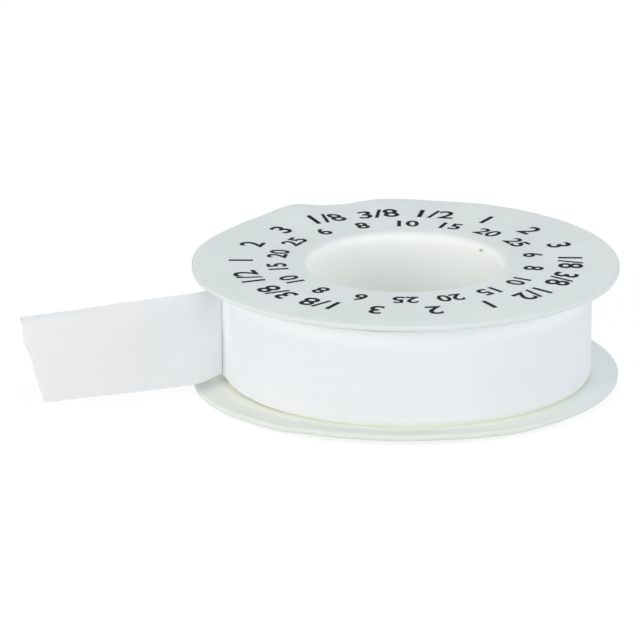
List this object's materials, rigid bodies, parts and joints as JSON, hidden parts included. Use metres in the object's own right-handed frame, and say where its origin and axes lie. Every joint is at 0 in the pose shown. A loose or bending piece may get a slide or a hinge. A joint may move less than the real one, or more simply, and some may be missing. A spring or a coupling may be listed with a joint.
{
  "type": "thread seal tape roll",
  "caption": "Narrow white film wound on a flat spool of two flanged halves that snap together round an open bore, with the torn free end pulled out to one side.",
  "frame": {"origin": "middle of the bore, on its axis, halfway between the outer faces of the flanges", "axes": "+Z along the bore towards the upper flange, -Y towards the viewer of the picture, +X to its right; the free end leaves towards -X and -Y"},
  "size_m": [0.0746, 0.054, 0.015],
  "materials": {
    "spool_plastic": "satin moulded white, faintly translucent",
    "tape_film": "soft silky white film"
  },
  "bodies": {
    "spool": {"lower_spool_half": "spool_plastic", "upper_spool_half": "spool_plastic", "tape_winding": "tape_film"},
    "outer_turn": {"tape_outer_turn": "tape_film"},
    "free_end": {"tape_free_end": "tape_film"}
  },
  "joints": [
    {"name": "unwind", "type": "hinge", "parent": "spool", "child": "outer_turn", "pos_m": [0, 0, 0], "axis": [0, 0, 1], "continuous": true},
    {"name": "free_end_swing", "type": "hinge", "parent": "outer_turn", "child": "free_end", "pos_m": [-0.02328, -0.00662, 0], "axis": [0, 0, 1], "range_deg": [-75, 60]}
  ]
}
